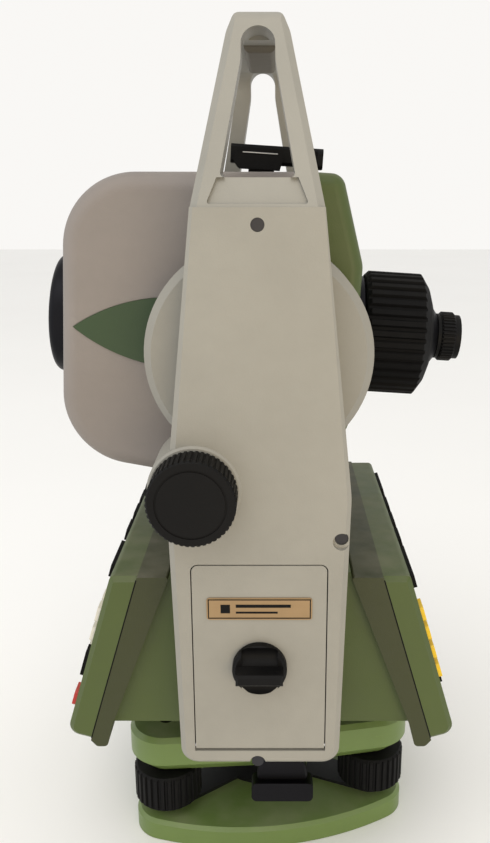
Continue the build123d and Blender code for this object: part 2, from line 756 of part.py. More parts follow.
def make_front_shell():
    foot_x, foot_z = face_point(face_length, 0)
    back_foot = face_point(face_length, key_front_t)
    points = [(seam_top_x(), key_top_z), (key_outer_x, key_top_z), (foot_x, foot_z), back_foot]
    shell = along_y(points, [0, 2.5, 5, 0], -key_half_y, key_half_y)
    for end in (0, -1):
        rim = shell.faces().sort_by(Axis.Y)[end].edges()
        rim = [e for e in rim if e.geom_type == GeomType.LINE]
        shell = chamfer(max(rim, key=lambda e: e.center().X + e.center().Z), key_edge)
    inner_w = 2 * (key_half_y - key_wall)
    shell -= on_face(0, face_length / 2 - 1, inner_w, face_length - 4.6, -key_wall, key_front_t + 1)
    shell -= on_face(display_u, display_v, display_w, display_h, 5, key_wall + 1)
    shell -= on_face(0, (mat_top + mat_foot) / 2, inner_w - 1, mat_foot - mat_top, 5, mat_t)
    for keys in key_rows.values():
        for u, v, w, h in keys:
            shell -= on_face(u, v, w + 2 * key_gap, h + 2 * key_gap, 5, key_wall + 1)
    return shell - telescope_sweep(0)


def make_rear_shell():
    back_foot_x, back_foot_z = face_point(face_length, key_front_t)
    heel_z = back_foot_z - 3.0
    points = [(key_inner_x, key_top_z), (seam_top_x(), key_top_z), (back_foot_x, back_foot_z),
              (back_foot_x - 2.5, heel_z), (back_x(housing_bottom_z) + 2.0, heel_z),
              (back_x(housing_bottom_z), housing_bottom_z)]
    shell = along_y(points, [1, 0, 0, 2, 2, 0], -key_half_y, key_half_y)
    inner_y = key_half_y - key_wall
    gap = key_wall
    hollow = [(key_inner_x + 2.2 * gap, key_top_z - gap), (seam_top_x() + 1, key_top_z - gap),
              (back_foot_x + 1, back_foot_z + gap), (back_foot_x - 8, back_foot_z + gap),
              (back_x(back_foot_z + 14) + 1.2 * gap, back_foot_z + 14)]
    cavity = along_y(hollow, [0, 0, 0, 0, 0], -inner_y, inner_y) - telescope_sweep(gap)
    return shell - cavity - telescope_sweep(0)


def make_display():
    return on_face(display_u, display_v, display_w, display_h, 0, display_t) + on_face(
        display_u, display_v, display_w - 4, display_h - 4, 0, key_wall)


def make_keypad_mat():
    inner_w = 2 * (key_half_y - key_wall) - 1
    mat = on_face(0, (mat_top + mat_foot) / 2, inner_w, mat_foot - mat_top, 0, mat_t)
    mat -= on_face(display_u, display_v, display_w, display_h, 5, 5)
    for keys in key_rows.values():
        for u, v, w, h in keys:
            mat -= on_face(u, v, w + 2 * key_gap, h + 2 * key_gap, 5, 5)
    return mat


def make_keys(keys):
    """One rubber moulding: the key caps and the web that joins them behind the shell."""
    web_top = key_wall + key_gap
    group = None
    for u, v, w, h in keys:
        cap = on_face(u, v, w, h, key_rise, web_top + key_web_t)
        cap = chamfer(cap.edges().filter_by(GeomType.LINE).group_by(SortBy.LENGTH)[0], 0.8) if h > 5.9 else cap
        group = cap if group is None else group + cap
    u = min(key[0] for key in keys)
    rows = sorted(set(key[1] for key in keys))
    for v in rows:
        row = [key for key in keys if key[1] == v]
        low = min(key[0] - key[2] / 2 for key in row)
        high = max(key[0] + key[2] / 2 for key in row)
        low = u if 0 < low - u < 15 else low
        group += on_face((low + high) / 2, v, high - low, 3, -web_top, web_top + key_web_t)
    if len(rows) > 1:
        group += on_face(u, (rows[0] + rows[-1]) / 2, 3, rows[-1] - rows[0], -web_top, web_top + key_web_t)
    return group


# ---------------------------------------------------------------- telescope, level


def scope_top(x):
    """Height of the housings' top above the sight line."""
    return scope_top_front + (x - scope_front_x) * top_slope


def scope_bottom(x):
    return scope_bottom_front + (x - scope_front_x) * bottom_slope


def scope_block(x0, x1, half_y, inset, corner, edge_r):
    points = [(x0, scope_top(x0) - inset), (x1, scope_top(x1) - inset),
              (x1, inset - scope_bottom(x1)), (x0, inset - scope_bottom(x0))]
    solid = along_y(points, [corner, 0, 0, corner], -half_y, half_y)
    if edge_r:
        outer = solid.faces().filter_by(Axis.Y).edges()
        keep = [e for e in outer if not (e.geom_type == GeomType.LINE and abs(e.center().X - x1) < 0.01)]
        solid = fillet(keep, edge_r)
    return solid


def make_front_housing():
    r = scope_corner_r
    outer = scope_block(scope_front_x, parting_x, scope_half_y, 0, r, scope_edge_r)
    wall = scope_wall
    inner = scope_block(scope_front_x + wall, parting_x + 1, scope_half_y - wall, wall, r - wall, 0)
    housing = outer - inner
    housing -= rod("x", (0, 0), tube_r, scope_front_x - 1, scope_front_x + wall + 1)
    housing -= rod("y", (0, 0), trunnion_flange_r + 1, -scope_half_y - 1, scope_half_y + 1)
    for side in (-1, 1):
        housing -= arrow(side, 0.15)
    return housing


def rear_outline(inset):
    """Outline of the rear housing, made smaller by inset, and open to the front."""
    high, low = scope_top(parting_x) - inset, inset - scope_bottom(parting_x)
    return [(parting_x, high), (rear_shoulder_x - inset / 2, high), (rear_x - inset, rear_flat_half),
            (rear_x - inset, -rear_flat_half), (rear_shoulder_x - inset / 2, low), (parting_x, low)]


def make_rear_housing():
    r = rear_corner_r
    outer = along_y(rear_outline(0), [0, r, 12, 12, r, 0], -rear_half_y, rear_half_y)
    edges = [e for e in outer.faces().filter_by(Axis.Y).edges() if e.center().X > parting_x + 0.5]
    outer = fillet(edges, 5.0)
    cavity = along_y(rear_outline(scope_wall), [0] * 6, scope_wall - rear_half_y, rear_half_y - scope_wall)
    return outer - cavity - rod("x", (0, 0), tube_r, rear_x - 8, rear_x + 8)


def arrow(side, gap):
    """Pointed inlay with two curved edges, on a side of the front housing."""
    tip = (arrow_tip_x - 2 * gap, arrow_rise)
    base_x = arrow_base_x + gap
    edges = []
    for way in (-1, 1):
        middle = (arrow_middle_x, arrow_rise + way * (arrow_middle_half + gap))
        edges.append(ThreePointArc(tip, middle, (base_x, arrow_rise + way * (arrow_half + gap))))
    edges.append(Line(edges[0] @ 1, edges[1] @ 1))
    depth = 0.8 if gap else 0.5
    y = side * scope_half_y
    return at(0, y + 0.25, 0) * extrude(Plane.XZ * make_face(edges), amount=depth + 0.25)


def make_direction_arrows():
    return arrow(-1, 0) + arrow(1, 0)


def make_telescope_tube():
    tube = rod("x", (0, 0), tube_r, scope_front_x, focus_x0 - 1.0)
    tube += rod("y", (0, 0), trunnion_flange_r, 3 - scope_half_y, scope_half_y - 3)
    tube += rod("x", (0, 0), eye_tube_r, focus_x0 - 4, eye_x0 + 6)
    collar = at((focus_x1 + eye_x0) / 2, 0, 0) * Rotation(0, 90, 0)
    tube += collar * Cone(eye_r + 3.2, eye_r - 1.0, eye_x0 - focus_x1 - 2 * free)
    tube -= rod("x", (0, 0), tube_bore_r, scope_front_x - 1, focus_x0 - 6)
    return tube - rod("x", (0, 0), eye_tube_bore_r, focus_x0 - 7, eye_x0 + 9)


def make_trunnions():
    flange = rod("y", (0, 0), trunnion_flange_r, -scope_half_y - 1.5, 3 - scope_half_y)
    journal = rod("y", (0, 0), trunnion_r, -trunnion_end_y, -scope_half_y)
    return both_sides(flange + journal)


def make_vertical_circle():
    disc = rod("y", (0, 0), vertical_circle_r, -trunnion_end_y + 2, -trunnion_end_y + 4)
    return disc - rod("y", (0, 0), trunnion_r, -trunnion_end_y - 1, -trunnion_end_y + 5)


def make_objective_ring():
    ring = rod("x", (0, 0), objective_ring_r, objective_tip_x, scope_front_x)
    ring = fillet(ring.faces().sort_by(Axis.X)[0].edges(), 3.0)
    ring -= rod("x", (0, 0), objective_bore_r, objective_tip_x - 1, scope_front_x + 1)
    return ring


def make_objective_lens():
    lens = rod("x", (0, 0), objective_bore_r, objective_tip_x + 5, scope_front_x - 2)
    return lens


def make_focusing_lens():
    low = scope_front_x * 0.25
    cell = rod("x", (0, 0), focus_cell_r, low, low + focus_cell_l)
    return cell - rod("x", (0, 0), focus_cell_r - 4, low - 1, low + 4)


def make_focus_ring():
    """Knurled ring that narrows at its rear end."""
    ring = at(focus_x0, 0, 0) * Rotation(0, 90, 0) * toothed(focus_r, 1.3, focus_teeth, focus_x1 - focus_x0)
    profile = [(focus_x0, 0), (focus_x0, focus_r + 1), (focus_shoulder_x, focus_r),
               (focus_x1 - 2, focus_end_r + 5.5), (focus_x1, focus_end_r), (focus_x1, 0)]
    ring &= revolve(Plane.XZ * make_face(Polyline(*profile, close=True)), axis=Axis.X)
    return ring - rod("x", (0, 0), eye_tube_r + running, focus_x0 - 1, focus_x1 + 1)


def make_eyepiece():
    neck = rod("x", (0, 0), eye_r - 1.0, eye_x0, eye_x1 - 3)
    grip = at(eye_x0 + 1.5, 0, 0) * Rotation(0, 90, 0) * toothed(eye_r, 0.5, eye_teeth, eye_x1 - eye_x0 - 4)
    cup = rod("x", (0, 0), eye_r - 1.2, eye_x1 - 3.5, eye_x1)
    body = neck + grip + cup
    body -= rod("x", (0, 0), eye_tube_r + running, eye_x0 - 1, eye_x0 + 6 + free)
    return body - rod("x", (0, 0), eye_tube_bore_r - 1.8, eye_x0, eye_x1 + 1)


def make_eyepiece_lens():
    low = eye_x0 + 6 + free
    return rod("x", (0, 0), eye_tube_bore_r - 1.8, low, eye_x1 - 1.6)


def make_sight():
    """Optical sight: a bar with an eye cup at its rear end, between two cheek plates."""
    low = scope_top(parting_x) + 1.0
    top = low + sight_h
    foot_half = sight_half_y - 2.5
    foot = block(sight_x0 + 8, sight_cheek_x1 - 4, -foot_half, foot_half, scope_top(0) - 3, low + 2)
    foot -= scope_block(scope_front_x, parting_x, scope_half_y, 0, 5, 0)
    body = block(sight_x0, sight_x1, 2.5 - sight_half_y, sight_half_y - 2.5, low + 1.5, top)
    body = chamfer(body.edges().filter_by(Axis.X), 1.2)
    for side in (-1, 1):
        cheek = [(sight_x0 + 3.5, low - 0.6), (sight_x0 + 1.5, low + 2.0), (sight_x0 + 1.5, top - sight_cheek_drop),
                 (sight_cheek_x1, top - sight_cheek_drop), (sight_cheek_x1 - 1.5, low - 0.6)]
        y = side * (sight_half_y - 1.5)
        body += along_y(cheek, [0, 1, 2.5, 2.5, 0], y - 1.5, y + 1.5)
    eye = block(sight_x1 - 2.6, sight_x1, 1 - sight_half_y, sight_half_y - 1, low + 0.8, top - 0.4)
    eye = fillet(eye.edges().filter_by(Axis.X), 2.0)
    return foot + body + eye - rod("x", (0, low + 5.2), 2.2, sight_x0 - 1, sight_x1 + 1)


def make_distance_meter():
    """Electronics of the distance meter, on top of the telescope tube."""
    return block(scope_front_x + 14, -22, -16, 16, tube_r - 1.5, tube_r + 18) - rod("x", (0, 0), tube_r, -99, 0)


# ---------------------------------------------------------------- build

parts = {
    "tribrach_base_plate": make_base_plate(),
    "tribrach_spring_plate": make_spring_plate(),
    "tribrach_body": make_tribrach_body(),
    "tribrach_lock_knob": make_lock_knob(),
    "circular_level_cup": make_level_cup(),
    "circular_level_vial": make_level_vial(),
    "instrument_base": make_instrument_base(),
    "vertical_axis_bush": make_axis_bush(),
    "horizontal_circle": make_horizontal_circle(),
    "vertical_axis_spindle": make_axis_spindle(),
    "alidade_frame": make_alidade_frame(),
    "lower_housing": make_lower_housing(),
    "near_standard_cover": make_near_cover(),
    "far_standard_cover": make_far_cover(),
    "circuit_board": make_circuit_board(),
    "battery": make_battery(),
    "battery_door": make_battery_door(),
    "battery_door_hinge_pin": make_hinge_pin(),
    "battery_door_knob": make_door_knob(),
    "label_plate": make_label_plate(),
    "carry_handle": make_handle(),
    "handle_grip_pad": make_grip_pad(),
    "cover_screws": make_cover_screws(),
    "vertical_drive_knob": make_drive_knob(),
    "horizontal_drive_knob": mirrored(make_drive_knob()),
    "tilting_axis_bearings": make_bearings(),
    "telescope_front_housing": pitched(make_front_housing()),
    "telescope_rear_housing": pitched(make_rear_housing()),
    "direction_arrows": pitched(make_direction_arrows()),
    "telescope_tube": pitched(make_telescope_tube()),
    "tilting_axis_trunnions": pitched(make_trunnions()),
    "vertical_circle": pitched(make_vertical_circle()),
    "objective_ring": pitched(make_objective_ring()),
    "objective_lens": pitched(make_objective_lens()),
    "focusing_lens_cell": pitched(make_focusing_lens()),
    "focus_ring": pitched(make_focus_ring()),
    "eyepiece": pitched(make_eyepiece()),
    "eyepiece_lens": pitched(make_eyepiece_lens()),
    "optical_sight": pitched(make_sight()),
    "distance_meter": pitched(make_distance_meter()),
}
for number, centre in enumerate(screw_centres, 1):
    parts[f"foot_screw_{number}"] = make_foot_screw(centre)

keyboard = {
    "rear_shell": make_rear_shell(),
    "front_shell": make_front_shell(),
    "display": make_display(),
    "keypad_mat": make_keypad_mat(),
}
for name, keys in key_rows.items():
    keyboard[name] = make_keys(keys)
for name, part in keyboard.items():
    parts["right_" + name] = part
    parts["left_" + name] = mirrored(part)

os.makedirs("parts", exist_ok=True)
for name, part in parts.items():
    part.label = name
    export_step(part, f"parts/{name}.step")
print(len(parts), "parts")
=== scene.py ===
# %% [markdown]
# # A surveying total station
# The instrument's frame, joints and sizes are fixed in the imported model. This lesson loads that
# model, adds the small pieces that are easier to model by hand, and gives each part its finish.

# %% Load the frame
import json
import math

import bpy
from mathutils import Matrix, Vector


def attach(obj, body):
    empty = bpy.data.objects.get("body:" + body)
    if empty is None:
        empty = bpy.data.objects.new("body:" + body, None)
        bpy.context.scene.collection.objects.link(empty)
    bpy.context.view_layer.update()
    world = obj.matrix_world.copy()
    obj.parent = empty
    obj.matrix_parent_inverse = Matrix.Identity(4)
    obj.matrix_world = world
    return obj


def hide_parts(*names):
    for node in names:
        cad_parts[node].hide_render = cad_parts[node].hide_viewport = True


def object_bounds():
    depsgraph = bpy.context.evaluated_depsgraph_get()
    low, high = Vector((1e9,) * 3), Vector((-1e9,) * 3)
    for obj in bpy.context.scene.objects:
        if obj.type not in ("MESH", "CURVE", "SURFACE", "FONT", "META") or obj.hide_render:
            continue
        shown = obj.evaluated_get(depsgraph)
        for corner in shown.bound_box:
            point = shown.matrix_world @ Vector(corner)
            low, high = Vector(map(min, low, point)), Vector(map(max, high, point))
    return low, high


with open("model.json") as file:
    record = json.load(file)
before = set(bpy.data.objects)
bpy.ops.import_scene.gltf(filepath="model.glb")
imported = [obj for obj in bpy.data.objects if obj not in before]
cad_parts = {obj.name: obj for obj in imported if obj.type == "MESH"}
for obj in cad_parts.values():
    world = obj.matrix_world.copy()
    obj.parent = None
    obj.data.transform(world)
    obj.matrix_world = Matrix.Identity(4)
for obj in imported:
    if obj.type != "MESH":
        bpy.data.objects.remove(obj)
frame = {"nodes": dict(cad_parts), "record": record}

MM = 0.001
nodes = frame["nodes"]
cad_low, cad_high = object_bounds()
print("model box in mm:", [round(v / MM) for v in cad_low], [round(v / MM) for v in cad_high])

# %% [markdown]
# ## Camera
# The instrument is seen from its battery side, from a little above and close enough for the near
# standard to look larger than the far one. A real camera was held at handle height and tipped
# down, so the camera here is tipped down by the same angle. The lens is long enough to fill the
# view with the instrument, and a small shift centres it without turning the camera.

# %% Camera
CAMERA_PLACE = Vector((5.9, -385.0, 300.5)) * MM
CAMERA_DIP = math.radians(15.5)
CAMERA_LENS = 35.87

bpy.ops.object.camera_add(location=CAMERA_PLACE, rotation=(math.pi / 2 - CAMERA_DIP, 0, 0))
camera = bpy.context.object
camera.name = "camera"
camera.data.lens = CAMERA_LENS
camera.data.sensor_width = 36.0
camera.data.shift_x = -0.0354
camera.data.clip_start = 0.01
bpy.context.scene.camera = camera
print("camera distance in mm:", round((CAMERA_PLACE - Vector((0, 0, 0.2))).length / MM))

# %% [markdown]
# ## Studio
# A pale floor and an even pale surround keep the outline clear. Three soft area lights do the
# work: a wide one above and in front, a weaker one on the left, and a low one for the tribrach.

# %% Floor, surround and lights
scene = bpy.context.scene
scene.view_settings.view_transform = "Standard"

bpy.ops.mesh.primitive_plane_add(size=8.0, location=(0, 0, cad_low[2] - 0.0002))
floor = bpy.context.object
floor.name = "studio_floor"

world = bpy.data.worlds.new("studio_surround")
world.use_nodes = True
world.node_tree.nodes["Background"].inputs["Color"].default_value = (1.0, 0.985, 0.96, 1)
world.node_tree.nodes["Background"].inputs["Strength"].default_value = 0.95
scene.world = world


def soft_light(name, place, aim, size, power, colour):
    """Square area light at a place in metres, turned towards another place."""
    turn = (Vector(aim) - Vector(place)).to_track_quat("-Z", "Y").to_euler()
    bpy.ops.object.light_add(type="AREA", location=place, rotation=turn)
    light = bpy.context.object
    light.name = name
    light.data.size = size
    light.data.energy = power
    light.data.color = colour
    return light


soft_light("light_above", (-0.25, -0.7, 1.3), (0, 0, 0.2), 0.9, 5.0, (1.0, 0.97, 0.93))
soft_light("light_left", (-1.1, -0.3, 0.6), (0, 0, 0.2), 0.8, 1.6, (0.95, 0.97, 1.0))
soft_light("light_low", (0.35, -1.0, 0.12), (0, 0, 0.1), 0.6, 4.0, (1.0, 0.76, 0.42))

# %% [markdown]
# ## Writing shader maths as sums
# A finish is a small network of nodes. Wiring Math nodes one by one is slow to read, so a Value
# wraps a socket, and adding or multiplying Values adds the Math node for it.

# %% Values and finishes
def link_or_set(tree, socket, value):
    """Links a Value to a socket, or sets the socket's own number or colour."""
    if isinstance(value, Value):
        tree.links.new(value.socket, socket)
    elif isinstance(value, (tuple, list)) and len(value) == 3 and len(socket.default_value) == 4:
        socket.default_value = (*value, 1.0)
    else:
        socket.default_value = value


class Value:
    """A shader socket that can be used in sums."""

    def __init__(self, finish, socket):
        self.finish = finish
        self.socket = socket

    def maths(self, operation, first, second):
        return self.finish.node("ShaderNodeMath", {"operation": operation}, {0: first, 1: second})

    def __add__(self, other):
        return self.maths("ADD", self, other)

    def __mul__(self, other):
        return self.maths("MULTIPLY", self, other)


def linear(red, green, blue):
    """Screen colour from 0 to 255 as the linear colour that a shader takes."""
    shares = [c / 255 for c in (red, green, blue)]
    return tuple(s / 12.92 if s <= 0.04045 else ((s + 0.055) / 1.055) ** 2.4 for s in shares)


def lighter(colour, factor):
    return tuple(min(1.0, c * factor) for c in colour)


class Finish:
    """One material: a Principled shader, and nodes that are added to it one at a time."""

    def __init__(self, name, **constants):
        self.material = bpy.data.materials.new(name)
        self.material.use_nodes = True
        self.tree = self.material.node_tree
        self.shader = self.tree.nodes["Principled BSDF"]
        self.set(**constants)
        self.place = self.node("ShaderNodeTexCoord", {}, {}, "Object")

    def set(self, **inputs):
        """Sets shader sockets by name, with spaces written as underscores."""
        for name, value in inputs.items():
            link_or_set(self.tree, self.shader.inputs[name.replace("_", " ")], value)

    def node(self, kind, settings, inputs, output=0):
        """Adds a node: its settings first, then its sockets, and gives back one output."""
        node = self.tree.nodes.new(kind)
        for name, value in settings.items():
            setattr(node, name, value)
        for name, value in inputs.items():
            link_or_set(self.tree, node.inputs[name], value)
        return Value(self, node.outputs[output])

    def stretched(self, x, y, z):
        """The object's own coordinates, stretched along the axes."""
        return self.node("ShaderNodeMapping", {}, {"Vector": self.place, "Scale": (x, y, z)})

    def noise(self, scale, detail=2.0, vector=None):
        source = self.place if vector is None else vector
        return self.node("ShaderNodeTexNoise", {}, {"Vector": source, "Scale": scale, "Detail": detail})

    def ramp(self, value, low, high):
        """0 below low, 1 above high, and a straight slope between."""
        return self.node("ShaderNodeMapRange", {}, {"Value": value, "From Min": low, "From Max": high})

    def mix(self, factor, first, second):
        return self.node("ShaderNodeMix", {"data_type": "RGBA"}, {0: factor, 6: first, 7: second}, 2)

    def facing_up(self):
        """1 where the surface faces straight up, down to 0 on walls and below."""
        normal = self.node("ShaderNodeTexCoord", {}, {}, "Normal")
        return self.ramp(self.node("ShaderNodeSeparateXYZ", {}, {0: normal}, "Z"), 0.55, 1.0)

    def bump(self, height, strength, distance):
        return self.node("ShaderNodeBump", {}, {"Height": height, "Strength": strength, "Distance": distance})


# %% [markdown]
# ## Moulded plastic and painted metal
# Instrument housings are painted with a fine texture paint. Up close it is an orange-peel skin of
# dimples under a millimetre wide, and its colour drifts slightly over a hand's width. Handling
# leaves faint lighter scuffs, and dust settles on ledges. All of it is driven by the object's own
# coordinates, so the pattern stays with the part as it moves.

# %% Textured paint
DUST_COLOUR = linear(196, 188, 172)
COLOUR_DRIFT = 0.06


def textured(name, colour, roughness=0.55, peel=0.25, dust=0.15, scuffs=0.10, specular=0.5):
    """Fine-textured paint or moulded plastic with colour drift, scuffs and dust."""
    finish = Finish(name, Specular_IOR_Level=specular)
    blotch = finish.noise(22.0, 4.0)
    mottle = finish.noise(160.0, 3.0)
    shade = finish.mix(finish.ramp(blotch + mottle * 0.4, 0.45, 0.95),
                       lighter(colour, 1 - COLOUR_DRIFT), lighter(colour, 1 + COLOUR_DRIFT))
    scratch = finish.noise(90.0, 6.0, finish.stretched(1.0, 0.35, 7.0))
    marks = finish.ramp(scratch, 0.66, 0.74) * finish.ramp(finish.noise(12.0, 2.0), 0.48, 0.62)
    shade = finish.mix(marks * scuffs, shade, lighter(colour, 1.5))
    settled = finish.facing_up() * finish.ramp(finish.noise(60.0, 4.0), 0.35, 0.7)
    shade = finish.mix(settled * dust, shade, DUST_COLOUR)
    skin = finish.noise(1500.0, 2.0)
    pits = finish.noise(4200.0, 1.0)
    finish.set(Base_Color=shade,
               Roughness=mottle * 0.16 + (roughness - 0.08) + settled * 0.15,
               Normal=finish.bump(skin * 0.7 + pits * 0.3, peel, 0.25 * MM))
    return finish


WARM_GREY = linear(142, 140, 132)
TELESCOPE_GREY = linear(129, 122, 117)
GREEN = linear(65, 79, 29)
INLAY_GREEN = linear(42, 63, 32)
PLATE_GREEN = linear(98, 120, 62)
GREEN_DEEP = linear(45, 50, 13)
BLACK = linear(8, 8, 9)

finishes = {}
finishes["beige_cover"] = textured("beige_cover", WARM_GREY, roughness=0.5, dust=0.1)
# The casting is the covers' own beige, darkened by a tenth as painted shade for its uprights and discs set
# back behind the covers.
finishes["beige_casting"] = textured("beige_casting", lighter(WARM_GREY, 0.9), roughness=0.5)
finishes["beige_telescope"] = textured("beige_telescope", TELESCOPE_GREY, roughness=0.55)
finishes["green_plastic"] = textured("green_plastic", GREEN, roughness=0.5, scuffs=0.12)
finishes["green_inlay"] = textured("green_inlay", INLAY_GREEN, roughness=0.5, dust=0.05)
finishes["green_shell"] = textured("green_shell", GREEN_DEEP, roughness=0.55)
finishes["green_metal"] = textured("green_metal", PLATE_GREEN, roughness=0.38, peel=0.15, scuffs=0.3)
finishes["grey_metal"] = textured("grey_metal", linear(60, 62, 58), roughness=0.45, peel=0.15)
finishes["black_plastic"] = textured("black_plastic", BLACK, roughness=0.55, dust=0.01, scuffs=0.02,
                                     specular=0.15)
finishes["black_rubber"] = textured("black_rubber", linear(6, 6, 7), roughness=0.7, dust=0.015, scuffs=0.02,
                                    specular=0.15)
# The grip pad's dark brown-grey is painted shade: it is the colour of the beige grip's shaded underside, not
# a rubber colour of its own.
finishes["grip_rubber"] = textured("grip_rubber", linear(92, 87, 76), roughness=0.7, dust=0.05)
finishes["keypad_cream"] = textured("keypad_cream", linear(205, 196, 150), roughness=0.45, peel=0.1)
finishes["yellow_keys"] = textured("yellow_keys", linear(222, 186, 30), roughness=0.5, peel=0.08)
finishes["grey_keys"] = textured("grey_keys", linear(205, 204, 196), roughness=0.5, peel=0.08)
finishes["red_key"] = textured("red_key", linear(168, 44, 36), roughness=0.5, peel=0.08)
finishes["circuit_green"] = textured("circuit_green", linear(30, 84, 44), roughness=0.4, peel=0.05)
print("painted and moulded finishes:", len(finishes))

# %% [markdown]
# ## Metals
# Shafts are turned, so their scratches run round the axis: noise squeezed along the shaft gives
# that. Anodised and oxide-black parts stay dark and only show a soft sheen.

# %% Bare and treated metals
def turned_metal(name, colour, roughness, squeeze, depth=0.08):
    """Metal with fine tool marks, stretched along the axes by the three numbers of squeeze."""
    finish = Finish(name, Metallic=1.0)
    marks = finish.noise(240.0, 3.0, finish.stretched(*squeeze))
    tone = finish.noise(35.0, 3.0)
    finish.set(Base_Color=finish.mix(finish.ramp(tone, 0.35, 0.7), lighter(colour, 0.86), colour),
               Roughness=marks * 0.2 + (roughness - 0.1),
               Normal=finish.bump(marks, depth, 0.1 * MM))
    return finish


finishes["steel"] = turned_metal("steel", (0.52, 0.53, 0.55), 0.32, (1.0, 1.0, 14.0))
finishes["brass"] = turned_metal("brass", (0.66, 0.48, 0.22), 0.34, (1.0, 1.0, 14.0))
finishes["spring_steel"] = turned_metal("spring_steel", (0.05, 0.05, 0.055), 0.45, (1.0, 1.0, 1.0))
finishes["black_screw"] = turned_metal("black_screw", (0.05, 0.05, 0.055), 0.4, (4.0, 1.0, 4.0))
finishes["black_metal"] = turned_metal("black_metal", (0.018, 0.018, 0.021), 0.5, (12.0, 1.0, 1.0), 0.05)
finishes["label"] = turned_metal("label", linear(168, 144, 112), 0.6, (0.2, 1.0, 30.0), 0.03)
print("finishes so far:", len(finishes))

# %% [markdown]
# ## Glass and displays
# Lenses carry a coating that glows faintly violet-green. A liquid-crystal display is a grey-green
# sheet behind a gloss cover, so it is a gloss shader and not a see-through one.

# %% Glass
def coated_glass(name, tint, alpha):
    """Clear glass with a tinted coating."""
    finish = Finish(name, Roughness=0.04, IOR=1.5, Coat_Weight=0.6, Coat_Roughness=0.03)
    ripple = finish.noise(14.0, 1.0)
    finish.set(Base_Color=finish.mix(finish.ramp(ripple, 0.3, 0.7), tint, lighter(tint, 1.4)), Alpha=alpha)
    return finish


def display_glass(name):
    """Grey-green display sheet behind a gloss cover."""
    finish = Finish(name, Roughness=0.12, Coat_Weight=0.8, Coat_Roughness=0.05)
    grain = finish.noise(700.0, 1.0)
    tone = finish.noise(18.0, 2.0)
    finish.set(Base_Color=finish.mix(finish.ramp(grain * 0.3 + tone, 0.4, 0.9),
                                     linear(96, 108, 92), linear(128, 138, 118)))
    return finish


finishes["glass"] = coated_glass("glass", (0.06, 0.05, 0.10), 0.75)
finishes["vial_glass"] = coated_glass("vial_glass", (0.45, 0.6, 0.12), 0.8)
finishes["display_glass"] = display_glass("display_glass")

floor_finish = Finish("studio_floor", Roughness=0.8)
floor_finish.set(Base_Color=floor_finish.mix(floor_finish.noise(3.0, 2.0),
                                             (0.86, 0.86, 0.85), (0.9, 0.9, 0.89)))
floor.data.materials.append(floor_finish.material)

# %% [markdown]
# ## Dressing the parts
# Each part in the record names its material slot, so one loop gives every part its finish.

# %% Finishes on the parts
for entry in frame["record"]["subparts"]:
    part = nodes[entry["node"]]
    part.data.materials.clear()
    part.data.materials.append(finishes[entry["material_slot"]].material)

# %% [markdown]
# ## Modelling small pieces
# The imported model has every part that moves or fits. What is left is small: rims, lenses, screw
# heads and seams. A round piece starts as a disc, and each extrusion and resize adds one ring. A
# rectangular rim starts as a flat box: its two large faces are inset, and a bridge between the
# insets opens the middle. Each piece is finished in the same way: normals outward, its place kept
# in the mesh, and a body to ride on.

# %% Modelling helpers
tilt_joint = next(j for j in frame["record"]["behaviour"]["joints"] if j["name"] == "telescope_tilt")
AXIS_HEIGHT = tilt_joint["pos_m"][2] / MM
SIGHT_TILT = math.radians(3.6)
SIGHT_LINE = Vector((math.cos(SIGHT_TILT), 0, -math.sin(SIGHT_TILT)))
KEY_SLOPE = math.radians(73.23)
SEAM_LEAN = math.radians(-16.77)
FACING_NEAR = (math.pi / 2, 0, 0)


def on_sight(along, across, up):
    """A place in mm that is measured along the sight line, from the tilting axis."""
    x = along * math.cos(SIGHT_TILT) + up * math.sin(SIGHT_TILT)
    z = AXIS_HEIGHT - along * math.sin(SIGHT_TILT) + up * math.cos(SIGHT_TILT)
    return Vector((x, across, z))


def complete(name, body, slot):
    """Ends the modelling of the active piece and joins it to a body."""
    bpy.ops.mesh.select_all(action="SELECT")
    bpy.ops.mesh.normals_make_consistent(inside=False)
    bpy.ops.object.mode_set(mode="OBJECT")
    bpy.ops.object.transform_apply(location=True, rotation=True, scale=True)
    piece = bpy.context.object
    piece.name = name
    piece.data.name = name
    piece.data.materials.append(finishes[slot].material)
    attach(piece, body)
    return piece


def round_piece(name, body, slot, start, direction, rings, sides=96):
    """Round solid through rings of (distance along the direction, radius), in mm."""
    ahead = Vector(direction).normalized()
    turn = ahead.to_track_quat("Z", "Y").to_euler()
    distance, radius = rings[0]
    bpy.ops.object.select_all(action="DESELECT")
    bpy.ops.mesh.primitive_circle_add(vertices=sides, radius=radius * MM, fill_type="NGON",
                                      location=(Vector(start) + ahead * distance) * MM, rotation=turn)
    bpy.ops.object.mode_set(mode="EDIT")
    bpy.ops.mesh.select_all(action="SELECT")
    for (low, narrow), (high, wide) in zip(rings, rings[1:]):
        bpy.ops.mesh.extrude_region_move(TRANSFORM_OT_translate={"value": ahead * (high - low) * MM})
        bpy.ops.transform.resize(value=(wide / narrow, wide / narrow, wide / narrow))
    return complete(name, body, slot)


def flat_box(centre, turn, size):
    """A box with its size already in its mesh, in mm."""
    bpy.ops.object.select_all(action="DESELECT")
    bpy.ops.mesh.primitive_cube_add(size=1.0, location=Vector(centre) * MM, rotation=turn,
                                    scale=Vector(size) * MM)
    bpy.ops.object.transform_apply(location=False, rotation=False, scale=True)
    return bpy.context.object


def rim(name, body, slot, centre, turn, size, width):
    """Rectangular rim round an open middle; size is in the rim's own x, y and thickness."""
    box = flat_box(centre, turn, size)
    bpy.ops.object.mode_set(mode="EDIT")
    bpy.ops.mesh.select_mode(type="FACE")
    bpy.ops.mesh.select_all(action="DESELECT")
    bpy.ops.object.mode_set(mode="OBJECT")
    for face in box.data.polygons:
        face.select = abs(face.normal.z) > 0.9
    bpy.ops.object.mode_set(mode="EDIT")
    bpy.ops.mesh.inset(thickness=width * MM)
    bpy.ops.mesh.bridge_edge_loops()
    return complete(name, body, slot)


